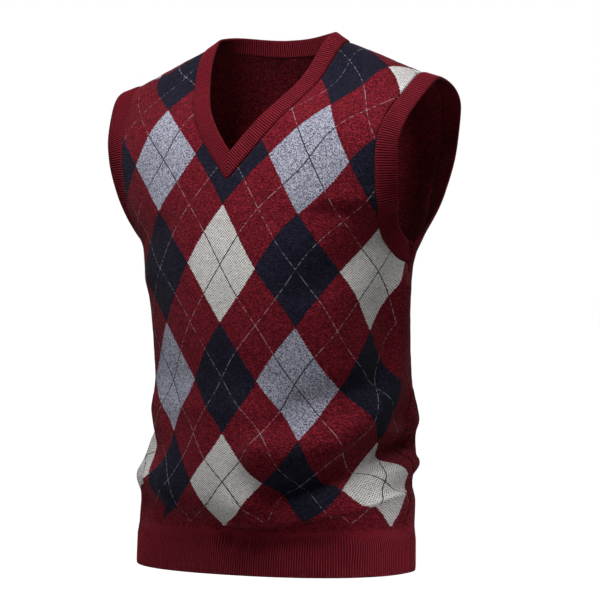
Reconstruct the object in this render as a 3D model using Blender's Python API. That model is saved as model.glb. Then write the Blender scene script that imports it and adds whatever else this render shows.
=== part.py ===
"""Knitted V-neck sweater vest in its worn, hollow shape.

Metres, +Z up, the front faces -Y and the wearer's left is +X. The origin is where the
shoulders carry it: halfway between the two shoulder seams, at their middle height.

The torso is lofted through the rows of SECTIONS. A level is a distance up the cloth of the
centre front, and across is a signed distance along the cloth from the centre line. Each
panel is a wall on that surface, and each rib band is a ribbed strip that starts on a seam.
"""

from collections import namedtuple
import math

import bpy
import numpy as np

# ------------------------------------------------------------------ cloth
PANEL_THICKNESS = 0.0020
BAND_THICKNESS = 0.0022
RIB_RELIEF = 0.0007
SEAM_GAP = 0.0003

# ------------------------------------------------------------------ cut
NECK_HALF = 0.098          # neck seam at the shoulder, across from the centre
NECK_POINT_DROP = 0.180    # foot of the V below the top of the shoulder seam
BACK_NECK_DROP = 0.024
NECK_LEG_BOW = 2.25        # 1 is a straight V, more bows its legs outwards
SHOULDER_HALF = 0.203      # armhole seam at the shoulder, across from the centre
CROSS_FRONT_HALF = 0.178
CROSS_BACK_HALF = 0.184
ARMHOLE_SCOOP = 0.150      # height of the rounded foot of the armhole
ARMHOLE_ROUNDNESS = 2.3    # superellipse power of that foot, more is squarer
NECKBAND_WIDTH = 0.023
ARMBAND_WIDTH = 0.026

# ------------------------------------------------------------------ ribs
RIB_PITCH = 0.0030
COLUMNS_A_RIB = 2          # a furrow and a ridge
INSIDE_STEP = 4            # the plain inside has one column for this many outside

# ------------------------------------------------------------------ worn shape
# height: level of the section at the neck; half_width and front, back: how far it reaches
# sideways and from the side seam to each centre line; side_y: the side seam's place;
# fall: how steeply the row drops towards the shoulder tip.
Section = namedtuple("Section", "height half_width front back side_y fall")
SECTIONS = (
    Section(-0.605, 0.176, 0.119, 0.094, -0.006, 0.00),   # hem edge
    Section(-0.554, 0.175, 0.117, 0.095, -0.004, 0.00),   # top of the hem rib
    Section(-0.466, 0.162, 0.172, 0.104, 0.021, 0.00),   # blouse over the rib
    Section(-0.421, 0.158, 0.158, 0.105, 0.024, 0.00),   # waist
    Section(-0.346, 0.154, 0.163, 0.103, 0.023, 0.00),   # lower chest
    Section(-0.240, 0.168, 0.149, 0.092, 0.012, 0.00),   # underarm
    Section(-0.142, 0.210, 0.128, 0.091, 0.006, 0.11),   # chest
    Section(-0.076, 0.250, 0.110, 0.091, 0.008, 0.14),   # upper chest
    Section(-0.031, 0.264, 0.073, 0.070, 0.010, 0.16),   # yoke
    Section(0.036, 0.253, 0.000, 0.000, 0.000, 0.44),    # shoulder seam
)
RIB_TOP_ROW, WAIST_ROW, UNDERARM_ROW, YOKE_ROW = 1, 3, 5, 8
SQUARENESS = 2.25          # superellipse power of the sections, 2 is an ellipse
FALL_START = 0.070         # the shoulder starts to drop this far from the centre
FALL_SOFTNESS = 0.030

# A crease runs between two places on the torso, each a bearing round it in degrees
# (0 front, 90 wearer's left) and a height. rise is positive for a ridge.
Crease = namedtuple("Crease", "bearing_a height_a bearing_b height_b half_width rise")
CREASES = (
    Crease(104, -0.470, 24, -0.526, 0.018, 0.005),       # blouse on the wearer's left
    Crease(106, -0.501, 24, -0.543, 0.016, -0.006),
    Crease(72, -0.440, 32, -0.502, 0.016, -0.004),
    Crease(-54, -0.430, -50, -0.505, 0.015, -0.006),     # upright fold on the right side
    Crease(-36, -0.440, -44, -0.512, 0.018, 0.004),
    Crease(-58, -0.530, -18, -0.538, 0.014, -0.006),
    Crease(82, -0.216, 32, -0.186, 0.020, -0.006),       # drag lines from the underarms
    Crease(80, -0.268, 40, -0.286, 0.024, 0.004),
    Crease(-80, -0.225, -36, -0.200, 0.020, -0.004),
    Crease(112, -0.238, 150, -0.190, 0.020, -0.005),
    Crease(-112, -0.236, -152, -0.196, 0.020, -0.005),
    Crease(138, -0.474, 215, -0.462, 0.024, 0.006),      # blouse across the back
    Crease(134, -0.520, 222, -0.508, 0.018, -0.008),
)
CREASE_RADIUS = 0.150      # turns a bearing into a distance round the torso

# ------------------------------------------------------------------ mesh density
LEVEL_SAMPLES = 241
ACROSS_SAMPLES = 121
SECTION_SAMPLES = 400
FRONT_COLUMNS, BACK_COLUMNS = 15, 10   # on each side of the centre line
ROW_STEP = 0.023
FOLD_ROW_STEP = 0.015      # in the folds below the waist
SCOOP_ROWS = 6
SHOULDER_ROWS = (0.0, 0.007, 0.015, 0.026)   # rows this far below the shoulder seam
LEVEL_DECIMALS = 5         # rows that agree to this many places are one row

# ------------------------------------------------------------------ colours
BURGUNDY = (0.200, 0.012, 0.022, 1.0)
RIB_RED = (0.170, 0.008, 0.018, 1.0)
KNIT_ROUGHNESS = 0.9


# ------------------------------------------------------------------ torso surface
def section_knots():
    """Level of each row of SECTIONS."""
    heights = np.array([row.height for row in SECTIONS])
    fronts = np.array([row.front for row in SECTIONS])
    steps = np.hypot(np.diff(heights), np.diff(fronts))
    return np.concatenate([[0.0], np.cumsum(steps)])


KNOTS = section_knots()
TOP_LEVEL = KNOTS[-1]
RIB_TOP_LEVEL = KNOTS[RIB_TOP_ROW]
WAIST_LEVEL = KNOTS[WAIST_ROW]
UNDERARM_LEVEL = KNOTS[UNDERARM_ROW]


def rows_at(levels):
    """SECTIONS read at these levels along one smooth curve through its rows.

    A mirrored row past the shoulder seam rounds the surface over from front to back."""
    table = np.array(SECTIONS)
    mirrored = table[YOKE_ROW] * np.array([1, 1, -1, -1, 1, 1])
    table = np.vstack([table, mirrored])
    knots = np.append(KNOTS, 2 * TOP_LEVEL - KNOTS[YOKE_ROW])
    slopes = np.gradient(table, knots, axis=0)
    at = np.clip(np.searchsorted(knots, levels, side="right") - 1, 0, len(KNOTS) - 2)
    span = (knots[at + 1] - knots[at])[:, None]
    t = (levels - knots[at])[:, None] / span
    return (
        table[at] * (1 + 2 * t) * (1 - t) ** 2
        + slopes[at] * span * t * (1 - t) ** 2
        + table[at + 1] * t * t * (3 - 2 * t)
        + slopes[at + 1] * span * t * t * (t - 1)
    )


def shoulder_drop(x):
    """Grows smoothly from 0 past FALL_START."""
    past = np.abs(x) - FALL_START
    return (np.sqrt(past**2 + FALL_SOFTNESS**2) + past) / 2


def crease_rise(points):
    """How far the creases lift each point off the smooth torso."""
    bearing = np.degrees(np.arctan2(points[..., 0], -points[..., 1]))
    total = np.zeros(bearing.shape)
    for c in CREASES:
        run = math.radians(c.bearing_b - c.bearing_a) * CREASE_RADIUS
        along = np.array([run, c.height_b - c.height_a])
        turned = (bearing - c.bearing_a + 180) % 360 - 180
        place = np.stack([np.radians(turned) * CREASE_RADIUS, points[..., 2] - c.height_a], -1)
        share = np.clip(place @ along / (along @ along), 0, 1)
        away = np.linalg.norm(place - share[..., None] * along, axis=-1)
        total += c.rise * np.exp(-((away / c.half_width) ** 2))
    return total


Surface = namedtuple("Surface", "facing levels halves points normals")


def section_grid(facing, levels):
    """Smooth points of the front (facing -1) or back (facing 1), and the cloth from the
    centre line to the side seam at each level. A grid has a row for each level and a column
    for each share of the way from one side seam over the centre to the other."""
    shares = np.linspace(-1, 1, ACROSS_SAMPLES)
    turns = np.linspace(0, math.pi / 2, SECTION_SAMPLES)
    rows, halves = [], []
    for height, half_width, front, back, side_y, fall in rows_at(levels):
        depth = front if facing < 0 else back
        x = half_width * np.sin(turns) ** (2 / SQUARENESS)
        y = side_y + facing * depth * np.cos(turns) ** (2 / SQUARENESS)
        z = height - fall * shoulder_drop(x)
        steps = np.sqrt(np.diff(x) ** 2 + np.diff(y) ** 2 + np.diff(z) ** 2)
        cloth = np.concatenate([[0.0], np.cumsum(steps)])
        halves.append(cloth[-1])
        reach = np.abs(shares) * cloth[-1]
        row = [np.sign(shares) * np.interp(reach, cloth, x)]
        row += [np.interp(reach, cloth, y), np.interp(reach, cloth, z)]
        rows.append(np.stack(row, axis=-1))
    return np.array(rows), np.array(halves)


def grid_normals(own, other, facing):
    """Outward unit normals of one side's grid. Its side seams and shoulder seam look across
    to the other side, so that both have the same normals there."""
    up, across = np.gradient(own, axis=0), np.gradient(own, axis=1)
    up[-1] = other[-2] - own[-2]
    across[:, 0] = own[:, 1] - other[:, 1]
    across[:, -1] = other[:, -2] - own[:, -2]
    return unit(np.cross(across, up)) * -facing


def torso_surfaces():
    """Dense surfaces of the front and the back, with their creases."""
    levels = np.linspace(0, TOP_LEVEL, LEVEL_SAMPLES)
    facings = (-1, 1)
    (front, front_halves), (back, back_halves) = (section_grid(f, levels) for f in facings)
    front_normals, back_normals = grid_normals(front, back, -1), grid_normals(back, front, 1)
    front = front + front_normals * crease_rise(front)[..., None]
    back = back + back_normals * crease_rise(back)[..., None]
    return (
        Surface(-1, levels, front_halves, front, grid_normals(front, back, -1)),
        Surface(1, levels, back_halves, back, grid_normals(back, front, 1)),
    )


def read_surface(surface, across, levels):
    """Points and unit normals at signed cloth distances from the centre line."""
    across, levels = np.broadcast_arrays(across, levels)
    half = np.interp(levels, surface.levels, surface.halves)
    column = (np.clip(across / half, -1, 1) + 1) / 2 * (ACROSS_SAMPLES - 1)
    row = np.clip(levels / TOP_LEVEL, 0, 1) * (LEVEL_SAMPLES - 1)
    j = np.minimum(column.astype(int), ACROSS_SAMPLES - 2)
    i = np.minimum(row.astype(int), LEVEL_SAMPLES - 2)
    a, b = (column - j)[..., None], (row - i)[..., None]
    read = []
    for grid in (surface.points, surface.normals):
        low = grid[i, j] * (1 - a) + grid[i, j + 1] * a
        high = grid[i + 1, j] * (1 - a) + grid[i + 1, j + 1] * a
        read.append(low * (1 - b) + high * b)
    return read[0], unit(read[1])


def unit(vectors):
    return vectors / np.linalg.norm(vectors, axis=-1, keepdims=True)


# ------------------------------------------------------------------ seams
def level_of_height(height):
    """Level whose section lies at this height at the neck."""
    levels = np.linspace(0, TOP_LEVEL, LEVEL_SAMPLES)
    return round(float(np.interp(height, rows_at(levels)[:, 0], levels)), LEVEL_DECIMALS)


NECK_HEIGHT = SECTIONS[-1].height
V_LEVEL = level_of_height(NECK_HEIGHT - NECK_POINT_DROP)
BACK_NECK_LEVEL = level_of_height(NECK_HEIGHT - BACK_NECK_DROP)


def front_neck_half(levels):
    """Half-width of the V at each level, 0 below its foot."""
    up = np.clip((np.asarray(levels) - V_LEVEL) / (TOP_LEVEL - V_LEVEL), 0, 1)
    return NECK_HALF * (1 - (1 - up) ** NECK_LEG_BOW)


def back_neck_half(levels):
    """Half-width of the shallow back neck, a quarter ellipse on each side."""
    up = np.clip((np.asarray(levels) - BACK_NECK_LEVEL) / (TOP_LEVEL - BACK_NECK_LEVEL), 0, 1)
    return NECK_HALF * np.sqrt(1 - (1 - up) ** 2)


def armhole_half(surface, cross_half, levels):
    """Cloth from the centre line to the side seam, or above the underarm to the armhole."""
    levels = np.asarray(levels, float)
    side = np.interp(levels, surface.levels, surface.halves) - SEAM_GAP / 2
    underarm = np.interp(UNDERARM_LEVEL, surface.levels, surface.halves) - SEAM_GAP / 2
    up = levels - UNDERARM_LEVEL
    scoop = np.clip(up / ARMHOLE_SCOOP, 0, 1)
    foot = (1 - (1 - scoop) ** ARMHOLE_ROUNDNESS) ** (1 / ARMHOLE_ROUNDNESS)
    half = cross_half + (underarm - cross_half) * (1 - foot)
    flare = np.clip((up - ARMHOLE_SCOOP) / (TOP_LEVEL - UNDERARM_LEVEL - ARMHOLE_SCOOP), 0, 1)
    half = half + (SHOULDER_HALF - cross_half) * flare * flare * (3 - 2 * flare)
    return np.where(up <= 0, side, half)


Panel = namedtuple("Panel", "surface levels neck armhole")


def plan_panel(surface, neck_half, neck_level, cross_half):
    """A panel's rows from the hem rib to the shoulder seam, and its edges in each row. Rows
    lie closer where the armhole's foot, the nape and the shoulder are round."""
    round_rows = 1 - np.cos(np.linspace(0, math.pi / 2, SCOOP_ROWS + 1))
    bottom, top = RIB_TOP_LEVEL + SEAM_GAP / 2, TOP_LEVEL - SEAM_GAP / 2
    fixed = [bottom, WAIST_LEVEL, *(UNDERARM_LEVEL + ARMHOLE_SCOOP * round_rows), neck_level]
    fixed.extend(top - np.array(SHOULDER_ROWS))
    if surface.facing > 0:
        fixed.extend(neck_level + (top - neck_level) * round_rows)
    fixed = np.unique(np.round(fixed, LEVEL_DECIMALS))
    levels = [fixed[0]]
    for low, high in zip(fixed[:-1], fixed[1:]):
        step = FOLD_ROW_STEP if high <= WAIST_LEVEL else ROW_STEP
        count = max(1, round((high - low) / step))
        levels.extend(np.linspace(low, high, count + 1)[1:])
    levels = np.array(levels)
    return Panel(surface, levels, neck_half(levels), armhole_half(surface, cross_half, levels))


def edge_points(panel, side, edge, start_level):
    """Points and normals up one edge of a panel, from start_level to the shoulder."""
    upper = panel.levels > start_level - SEAM_GAP
    return read_surface(panel.surface, side * edge[upper], panel.levels[upper])


def armhole_seam(front, back, side):
    """Closed loop of points and normals round an armhole, in the order that keeps the
    armhole on the left hand of someone walking it on the outside."""
    rise = edge_points(front, side, front.armhole, UNDERARM_LEVEL)
    descent = edge_points(back, side, back.armhole, UNDERARM_LEVEL)
    loop = [np.vstack([r, d[-2:0:-1]]) for r, d in zip(rise, descent)]
    return [part[::-1] if side > 0 else part for part in loop]


def neck_seam(front, back):
    """Points and normals from the foot of the V up the wearer's left, round the back of the
    neck and down to the foot again."""
    runs = []
    for side in (1, -1):
        leg = edge_points(front, side, front.neck, V_LEVEL)
        nape = edge_points(back, side, back.neck, BACK_NECK_LEVEL)
        runs.append([np.vstack([a, b[-2::-1]]) for a, b in zip(leg, nape)])
    left, right = runs
    return [np.vstack([a, b[-2::-1]]) for a, b in zip(left, right)]


# ------------------------------------------------------------------ meshes
def new_object(name, points, faces, material_name, colour):
    mesh = bpy.data.meshes.new(name)
    mesh.from_pydata([tuple(p) for p in points], [], faces)
    mesh.shade_smooth()
    mesh.set_sharp_from_angle(angle=math.radians(50))
    material = bpy.data.materials.new(material_name)
    material.use_nodes = True
    shader = material.node_tree.nodes["Principled BSDF"]
    shader.inputs["Base Color"].default_value = colour
    shader.inputs["Roughness"].default_value = KNIT_ROUGHNESS
    mesh.materials.append(material)
    made = bpy.data.objects.new(name, mesh)
    bpy.data.collections["sweater_vest"].objects.link(made)
    return made


def build_panel(name, panel, columns):
    """A wall of two halves that share the centre line below the neck."""
    points, normals, faces, index = [], [], [], {}
    shares = np.linspace(0, 1, columns + 1)
    for side in (-1, 1):
        for i, level in enumerate(panel.levels):
            across = side * (panel.neck[i] + shares * (panel.armhole[i] - panel.neck[i]))
            row, row_normals = read_surface(panel.surface, across, level)
            for j in range(columns + 1):
                on_centre = j == 0 and panel.neck[i] < SEAM_GAP
                key = (0 if on_centre else side, i, j)
                if key not in index:
                    index[key] = len(points)
                    points.append(row[j])
                    normals.append(row_normals[j])
                index[(side, i, j)] = index[key]
        for i in range(len(panel.levels) - 1):
            for j in range(columns):
                corners = ((i, j), (i, j + 1), (i + 1, j + 1), (i + 1, j))
                face = [index[(side, a, b)] for a, b in corners]
                faces.append(face[::-1] if side * panel.surface.facing > 0 else face)
    return new_object(name, *thicken(np.array(points), np.array(normals), faces), name, BURGUNDY)


def rim_triangles(a, b, count):
    """The rim over one edge of a sheet, with its diagonal from the lower row's inner point,
    so that two panels that meet at a seam twist alike."""
    if a < b:
        return [(a, b, b + count), (a, b + count, a + count)]
    return [(a, b, a + count), (b, b + count, a + count)]


def thicken(points, normals, faces):
    """Closes a sheet of faces into a wall: the sheet is its inside, and a rim joins the two."""
    count = len(points)
    edges = {(a, b) for face in faces for a, b in zip(face, face[1:] + face[:1])}
    rim = []
    for a, b in sorted(edges):
        if (b, a) not in edges:
            rim += rim_triangles(a, b, count)
    inner = [face[::-1] for face in faces]
    outer = [[i + count for i in face] for face in faces]
    return np.vstack([points, points + normals * PANEL_THICKNESS]), inner + outer + rim


def build_band(name, base, edge, closed):
    """A ribbed strip. base and edge are (points, normals) for each column, from the seam to
    the free edge; every other column stands up as a rib on the outside."""
    columns = len(base[0])
    lift = BAND_THICKNESS + RIB_RELIEF * (np.arange(columns) % COLUMNS_A_RIB)
    outer = [rows + normals * lift[:, None] for rows, normals in (base, edge)]
    inner = [rows[::INSIDE_STEP] for rows, _ in (base, edge)]
    inside = len(inner[0])
    first_in = 2 * columns
    faces = []
    for j in range(columns if closed else columns - 1):
        k = (j + 1) % columns
        faces.append((j, k, columns + k, columns + j))
    for j in range(inside if closed else inside - 1):
        k = (j + 1) % inside
        faces.append((first_in + j, first_in + inside + j, first_in + inside + k, first_in + k))
        for row in (0, 1):
            near, far = first_in + row * inside + j, first_in + row * inside + k
            run = [row * columns + (j * INSIDE_STEP + n) % columns for n in range(INSIDE_STEP + 1)]
            middle = INSIDE_STEP // 2
            fan = [(near, run[n + 1], run[n]) for n in range(middle)]
            fan.append((near, far, run[middle]))
            fan += [(far, run[n + 1], run[n]) for n in range(middle, INSIDE_STEP)]
            faces += fan if row == 0 else [face[::-1] for face in fan]
    if not closed:
        last = columns - 1
        faces.append((0, columns, first_in + inside, first_in))
        faces.append((last, first_in + inside - 1, first_in + 2 * inside - 1, columns + last))
    return new_object(name, np.vstack(outer + inner), faces, name, RIB_RED)


def column_count(length, closed):
    """Columns of a strip this long: whole ribs, in whole steps of the plain inside."""
    steps = round(length / RIB_PITCH * COLUMNS_A_RIB / INSIDE_STEP)
    return steps * INSIDE_STEP + (0 if closed else 1)


def strip_on_seam(name, seam, width, lift_degrees, closed, trim=0.0):
    """A band that leaves a seam square to it. lift_degrees, one for each seam point, bends it
    off the panel's plane, and trim cuts its ends short so that they meet in a mitre."""
    points, normals = seam
    if closed:
        tangents = unit(np.roll(points, -1, axis=0) - np.roll(points, 1, axis=0))
    else:
        tangents = unit(np.gradient(points, axis=0))
    flat = unit(np.cross(normals, tangents))
    lift = np.radians(lift_degrees)[:, None]
    out = flat * np.cos(lift) + normals * np.sin(lift)
    edge_normals = normals * np.cos(lift) - flat * np.sin(lift)
    around = [np.vstack([a, a[:1]]) if closed else a for a in (points, normals, flat, out, edge_normals)]
    run = np.linalg.norm(np.diff(around[0], axis=0), axis=1)
    run = np.concatenate([[0.0], np.cumsum(run)])
    places = np.linspace(trim, run[-1] - trim, column_count(run[-1], closed) + closed)
    places = places[:-1] if closed else places
    read = [np.stack([np.interp(places, run, c) for c in a.T], axis=-1) for a in around]
    base = read[0] + unit(read[2]) * SEAM_GAP
    normals, out, edge_normals = unit(read[1]), unit(read[3]), unit(read[4])
    reach = np.full(len(base), width)
    if trim:
        inwards = np.maximum(-out[:, 0] * np.sign(base[:, 0]), SEAM_GAP)
        room = (np.abs(base[:, 0]) - SEAM_GAP / 2) / inwards
        reach = np.where(normals[:, 1] < 0, np.minimum(reach, room), reach)
    return build_band(name, (base, normals), (base + out * reach[:, None], edge_normals), closed)


# ------------------------------------------------------------------ pieces
def build_hem(name, surface):
    half = np.interp(RIB_TOP_LEVEL / 2, surface.levels, surface.halves)
    shares = np.linspace(-1, 1, column_count(2 * half, closed=False)) * surface.facing
    rows = []
    for level in (RIB_TOP_LEVEL - SEAM_GAP / 2, 0.0):
        half = np.interp(level, surface.levels, surface.halves) - SEAM_GAP / 2
        rows.append(read_surface(surface, shares * half, level))
    return build_band(name, rows[0], rows[1], closed=False)


NAPE_LIFT = 38.0           # degrees that the neckband stands up at the back of the neck
NAPE_START, NAPE_FULL = -0.050, 0.060   # from here to here, front to back, it rises
MITRE_TRIM = 0.0010


def build_neckband(front, back):
    seam = neck_seam(front, back)
    share = np.clip((seam[0][:, 1] - NAPE_START) / (NAPE_FULL - NAPE_START), 0, 1)
    lift = NAPE_LIFT * share * share * (3 - 2 * share)
    return strip_on_seam("neckband", seam, NECKBAND_WIDTH, lift, closed=False, trim=MITRE_TRIM)


ARMBAND_LIFT = 6.0         # degrees that the armbands stand off at the shoulder


def build_armband(name, front, back, side):
    seam = armhole_seam(front, back, side)
    height = seam[0][:, 2]
    lift = ARMBAND_LIFT * (height - height.min()) / (height.max() - height.min())
    return strip_on_seam(name, seam, ARMBAND_WIDTH, lift, closed=True)


def main():
    for old in list(bpy.data.objects):
        bpy.data.objects.remove(old, do_unlink=True)
    vest = bpy.data.collections.new("sweater_vest")
    bpy.context.scene.collection.children.link(vest)
    front, back = torso_surfaces()
    build_hem("hem_rib_front", front)
    build_hem("hem_rib_back", back)
    front = plan_panel(front, front_neck_half, V_LEVEL, CROSS_FRONT_HALF)
    back = plan_panel(back, back_neck_half, BACK_NECK_LEVEL, CROSS_BACK_HALF)
    build_panel("front_panel", front, FRONT_COLUMNS)
    build_panel("back_panel", back, BACK_COLUMNS)
    build_neckband(front, back)
    build_armband("armband_left", front, back, 1)
    build_armband("armband_right", front, back, -1)


main()
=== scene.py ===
import math
from collections import namedtuple

import bpy
import numpy as np
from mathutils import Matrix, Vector


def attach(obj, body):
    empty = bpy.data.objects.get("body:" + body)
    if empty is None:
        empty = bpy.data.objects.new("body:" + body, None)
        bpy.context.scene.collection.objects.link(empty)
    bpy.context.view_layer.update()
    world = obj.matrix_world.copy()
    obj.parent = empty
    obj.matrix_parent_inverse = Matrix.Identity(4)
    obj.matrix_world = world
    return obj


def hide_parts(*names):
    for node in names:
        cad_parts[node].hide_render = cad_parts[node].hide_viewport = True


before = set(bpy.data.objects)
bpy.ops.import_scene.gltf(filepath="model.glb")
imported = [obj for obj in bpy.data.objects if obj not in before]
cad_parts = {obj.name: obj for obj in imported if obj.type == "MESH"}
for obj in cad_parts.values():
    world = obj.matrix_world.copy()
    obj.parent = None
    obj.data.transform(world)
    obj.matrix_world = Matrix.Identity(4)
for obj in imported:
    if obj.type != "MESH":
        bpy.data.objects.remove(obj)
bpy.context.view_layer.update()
print("frame loaded:", ", ".join(sorted(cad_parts)))

# worn body, one row per height, in metres: how far it reaches sideways, and from the
# side seam to each centre line; fall is how steeply a row drops towards the shoulder tip
BodyRow = namedtuple("BodyRow", "height halfWidth front back sideY fall")
body = {
    "rows": (
        BodyRow(-0.605, 0.176, 0.119, 0.094, -0.006, 0.00),  # hem edge
        BodyRow(-0.554, 0.175, 0.117, 0.095, -0.004, 0.00),  # top of the hem rib
        BodyRow(-0.466, 0.162, 0.172, 0.104, 0.021, 0.00),   # blouse over the rib
        BodyRow(-0.421, 0.158, 0.158, 0.105, 0.024, 0.00),   # waist
        BodyRow(-0.346, 0.154, 0.163, 0.103, 0.023, 0.00),   # lower chest
        BodyRow(-0.240, 0.168, 0.149, 0.092, 0.012, 0.00),   # underarm
        BodyRow(-0.142, 0.210, 0.128, 0.091, 0.006, 0.11),   # chest
        BodyRow(-0.076, 0.250, 0.110, 0.091, 0.008, 0.14),   # upper chest
        BodyRow(-0.031, 0.264, 0.073, 0.070, 0.010, 0.16),   # yoke
        BodyRow(0.036, 0.253, 0.000, 0.000, 0.000, 0.44),    # shoulder seam
    ),
    "ribTopRow": 1,
    "underarmRow": 5,
    "yokeRow": 8,
    "squareness": 2.25,      # 2 is an ellipse
    "fallStart": 0.070,
    "fallSoftness": 0.030,
}

# a fold follows a path of places on the body, each a bearing in degrees (0 is the front, 90 the
# wearer's left) and a height; rise is positive for a ridge and negative for a trough
Fold = namedtuple("Fold", "path halfWidth rise")
folds = {
    "main": (
        Fold(((104, -0.470), (24, -0.526)), 0.018, 0.005),
        Fold(((106, -0.501), (24, -0.543)), 0.016, -0.006),
        Fold(((72, -0.440), (32, -0.502)), 0.016, -0.004),
        Fold(((-54, -0.430), (-50, -0.505)), 0.015, -0.006),
        Fold(((-36, -0.440), (-44, -0.512)), 0.018, 0.004),
        Fold(((-58, -0.530), (-18, -0.538)), 0.014, -0.006),
        Fold(((82, -0.216), (32, -0.186)), 0.020, -0.006),
        Fold(((80, -0.268), (40, -0.286)), 0.024, 0.004),
        Fold(((-80, -0.225), (-36, -0.200)), 0.020, -0.004),
        Fold(((112, -0.238), (150, -0.190)), 0.020, -0.005),
        Fold(((-112, -0.236), (-152, -0.196)), 0.020, -0.005),
        Fold(((138, -0.474), (215, -0.462)), 0.024, 0.006),
        Fold(((134, -0.520), (222, -0.508)), 0.018, -0.008),
    ),
    # these lie over the main ones, ease a few of them, and go deeper at the hips
    "fine": (
        # the blouse at the wearer's left: a long ridge down the side that turns in over the
        # rib, the hollow under it, a crest, and the tuck where the rib draws it in
        Fold(
            ((90, -0.270), (93, -0.333), (91, -0.372), (83, -0.402),
             (69, -0.430), (52, -0.452), (37, -0.461), (20, -0.464)), 0.019, 0.0145),
        Fold(
            ((26, -0.511), (36, -0.507), (51, -0.492),
             (65, -0.477), (88, -0.461), (104, -0.454)), 0.0125, -0.0185),
        Fold(
            ((6, -0.540), (20, -0.540), (35, -0.534),
             (52, -0.523), (67, -0.519), (86, -0.514)), 0.0085, 0.0095),
        Fold(
            ((2, -0.561), (20, -0.560), (37, -0.557),
             (58, -0.550), (69, -0.548), (84, -0.549)), 0.015, -0.0095),
        Fold(((57, -0.546), (59, -0.568)), 0.017, 0.0055),     # keeps the tuck out of the hollow
        Fold(((76, -0.492), (90, -0.486), (104, -0.478)), 0.009, 0.0060),
        Fold(((80, -0.512), (92, -0.512), (108, -0.500)), 0.009, -0.0070),
        # the hollow above the ridge, and the side that fills out over it
        Fold(((76, -0.378), (60, -0.393), (36, -0.409)), 0.015, -0.0038),
        Fold(((101, -0.400), (106, -0.428)), 0.018, 0.0085),
        Fold(((98, -0.446), (72, -0.440)), 0.008, 0.0025),     # puffs beside the waist
        Fold(((96, -0.424), (76, -0.410)), 0.010, -0.0020),
        # a tuck and a ridge at the other hip
        Fold(((-70, -0.430), (-56, -0.454), (-40, -0.462)), 0.018, -0.0076),
        Fold(((-70, -0.498), (-50, -0.497), (-32, -0.500)), 0.015, 0.0075),
        Fold(((-60, -0.556), (-34, -0.558), (-14, -0.561)), 0.015, -0.0020),
        Fold(((-42, -0.412), (22, -0.416)), 0.029, 0.0120),    # the front hangs flatter there
        Fold(((-36, -0.466), (10, -0.470)), 0.024, -0.0040),
        Fold(((-26, -0.518), (14, -0.520)), 0.024, 0.0115),
        # the roll above the rib
        Fold(((8, -0.522), (40, -0.517), (72, -0.515), (92, -0.512)), 0.018, 0.0085),
        Fold(((104, -0.470), (24, -0.526)), 0.018, -0.0030),
        Fold(((106, -0.501), (24, -0.543)), 0.016, 0.0040),
        Fold(((70, -0.330), (69, -0.366)), 0.016, 0.0030),     # soft upright rise and hollow
        Fold(((30, -0.330), (24, -0.400)), 0.022, -0.0014),
        # drag lines from the underarm
        Fold(((78, -0.188), (64, -0.230), (42, -0.272)), 0.027, -0.0068),
        Fold(((80, -0.268), (40, -0.286)), 0.024, -0.0035),
        Fold(((82, -0.216), (32, -0.186)), 0.018, 0.0035),
        Fold(((76, -0.192), (60, -0.184), (44, -0.186)), 0.009, -0.0020),
        Fold(((72, -0.174), (50, -0.166)), 0.010, 0.0020),
        Fold(((-70, -0.262), (-44, -0.255)), 0.014, 0.0020),
        Fold(((-66, -0.330), (-58, -0.400)), 0.018, -0.0020),
        # similar ones on the back
        Fold(((122, -0.290), (158, -0.250)), 0.016, 0.0022),
        Fold(((-120, -0.300), (-160, -0.262)), 0.018, 0.0020),
        Fold(((128, -0.500), (146, -0.524), (168, -0.534)), 0.010, 0.0030),
        Fold(((-130, -0.452), (-165, -0.440)), 0.012, -0.0024),
        Fold(((-128, -0.510), (-150, -0.528), (-172, -0.526)), 0.010, -0.0030),
        Fold(((160, -0.420), (195, -0.432)), 0.016, -0.0020),
        Fold(((170, -0.350), (182, -0.402)), 0.020, -0.0016),
    ),
    "radius": 0.150,         # turns a bearing into a distance round the body
}

cut = {
    "panelThickness": 0.0020,
    "seamGap": 0.0003,
    "neckHalf": 0.098,
    "neckPointDrop": 0.180,
    "backNeckDrop": 0.024,
    "neckLegBow": 2.25,
    "shoulderHalf": 0.203,
    "crossFrontHalf": 0.178,
    "crossBackHalf": 0.184,
    "armholeScoop": 0.150,
    "armholeRoundness": 2.3,
}

grain = {"levels": 361, "across": 241, "section": 500}   # how finely the body is sampled


def bodyLevels():
    rows = body["rows"]
    heights = np.array([row.height for row in rows])
    fronts = np.array([row.front for row in rows])
    return np.concatenate([[0.0], np.cumsum(np.hypot(np.diff(heights), np.diff(fronts)))])


# a level is a distance up the cloth of the centre front, from the hem edge
rowLevels = bodyLevels()
topLevel = rowLevels[-1]
ribTopLevel = rowLevels[body["ribTopRow"]]
underarmLevel = rowLevels[body["underarmRow"]]


def rowsAt(levels):
    # one smooth curve through the rows; a mirrored row past the shoulder rounds it over
    table = np.array(body["rows"])
    mirrored = table[body["yokeRow"]] * np.array([1, 1, -1, -1, 1, 1])
    table = np.vstack([table, mirrored])
    knots = np.append(rowLevels, 2 * topLevel - rowLevels[body["yokeRow"]])
    slopes = np.gradient(table, knots, axis=0)
    at = np.clip(np.searchsorted(knots, levels, side="right") - 1, 0, len(knots) - 3)
    span = (knots[at + 1] - knots[at])[:, None]
    t = (levels - knots[at])[:, None] / span
    return (
        table[at] * (1 + 2 * t) * (1 - t) ** 2
        + slopes[at] * span * t * (1 - t) ** 2
        + table[at + 1] * t * t * (3 - 2 * t)
        + slopes[at + 1] * span * t * t * (t - 1)
    )


def shoulderDrop(x):
    past = np.abs(x) - body["fallStart"]
    return (np.sqrt(past**2 + body["fallSoftness"] ** 2) + past) / 2


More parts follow.
